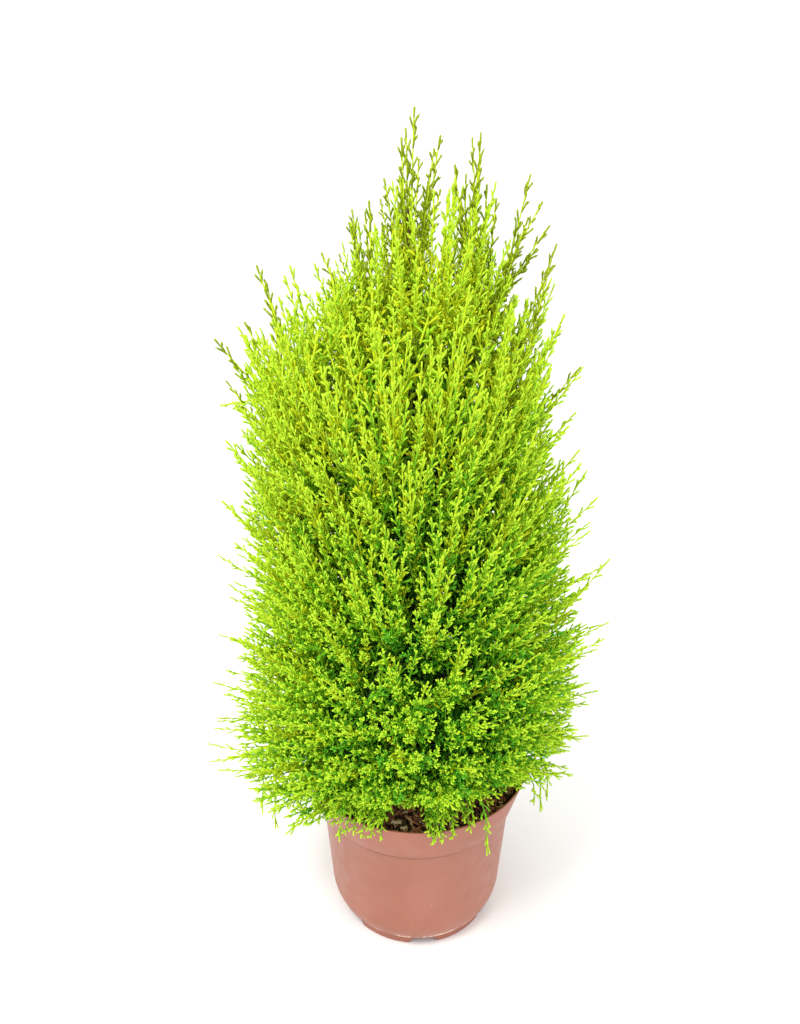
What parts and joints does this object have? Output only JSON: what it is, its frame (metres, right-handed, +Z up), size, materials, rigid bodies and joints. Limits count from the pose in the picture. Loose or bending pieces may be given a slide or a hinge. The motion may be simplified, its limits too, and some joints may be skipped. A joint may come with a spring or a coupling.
{
  "type": "potted golden cypress",
  "caption": "Young golden cypress with a dense feathery cone of upright lime-green sprays, standing in a round terracotta-coloured plastic nursery pot.",
  "frame": {"origin": "on the ground, at the middle of the flat underside of the pot", "axes": "+Z up along the trunk, -Y the front as pictured, +X to its right"},
  "size_m": [0.3194, 0.2982, 0.644],
  "materials": {
    "pot_plastic": "satin moulded plastic",
    "compost": "damp crumbly compost with bark chips",
    "bark": "thin fibrous bark",
    "foliage": "matte scale leaves"
  },
  "bodies": {
    "root": {"pot": "pot_plastic", "root_ball": "compost", "trunk": "bark", "bough_skirt_1": "bark", "mass_skirt_1": "foliage", "bough_skirt_2": "bark", "mass_skirt_2": "foliage", "bough_skirt_3": "bark", "mass_skirt_3": "foliage", "bough_skirt_4": "bark", "mass_skirt_4": "foliage", "bough_skirt_5": "bark", "mass_skirt_5": "foliage", "bough_skirt_6": "bark", "mass_skirt_6": "foliage", "bough_skirt_7": "bark", "mass_skirt_7": "foliage", "bough_lower_1": "bark", "mass_lower_1": "foliage", "bough_lower_2": "bark", "mass_lower_2": "foliage", "bough_lower_3": "bark", "mass_lower_3": "foliage", "bough_lower_4": "bark", "mass_lower_4": "foliage", "bough_lower_5": "bark", "mass_lower_5": "foliage", "bough_lower_6": "bark", "mass_lower_6": "foliage", "bough_middle_1": "bark", "mass_middle_1": "foliage", "bough_middle_2": "bark", "mass_middle_2": "foliage", "bough_middle_3": "bark", "mass_middle_3": "foliage", "bough_middle_4": "bark", "mass_middle_4": "foliage", "bough_middle_5": "bark", "mass_middle_5": "foliage", "bough_upper_1": "bark", "mass_upper_1": "foliage", "bough_upper_2": "bark", "mass_upper_2": "foliage", "bough_upper_3": "bark", "mass_upper_3": "foliage", "bough_upper_4": "bark", "mass_upper_4": "foliage", "bough_upper_5": "bark", "mass_upper_5": "foliage", "bough_spire_1": "bark", "mass_spire_1": "foliage", "bough_spire_2": "bark", "mass_spire_2": "foliage", "bough_spire_3": "bark", "mass_spire_3": "foliage", "bough_spire_4": "bark", "mass_spire_4": "foliage", "mass_leader": "foliage"}
  },
  "joints": []
}
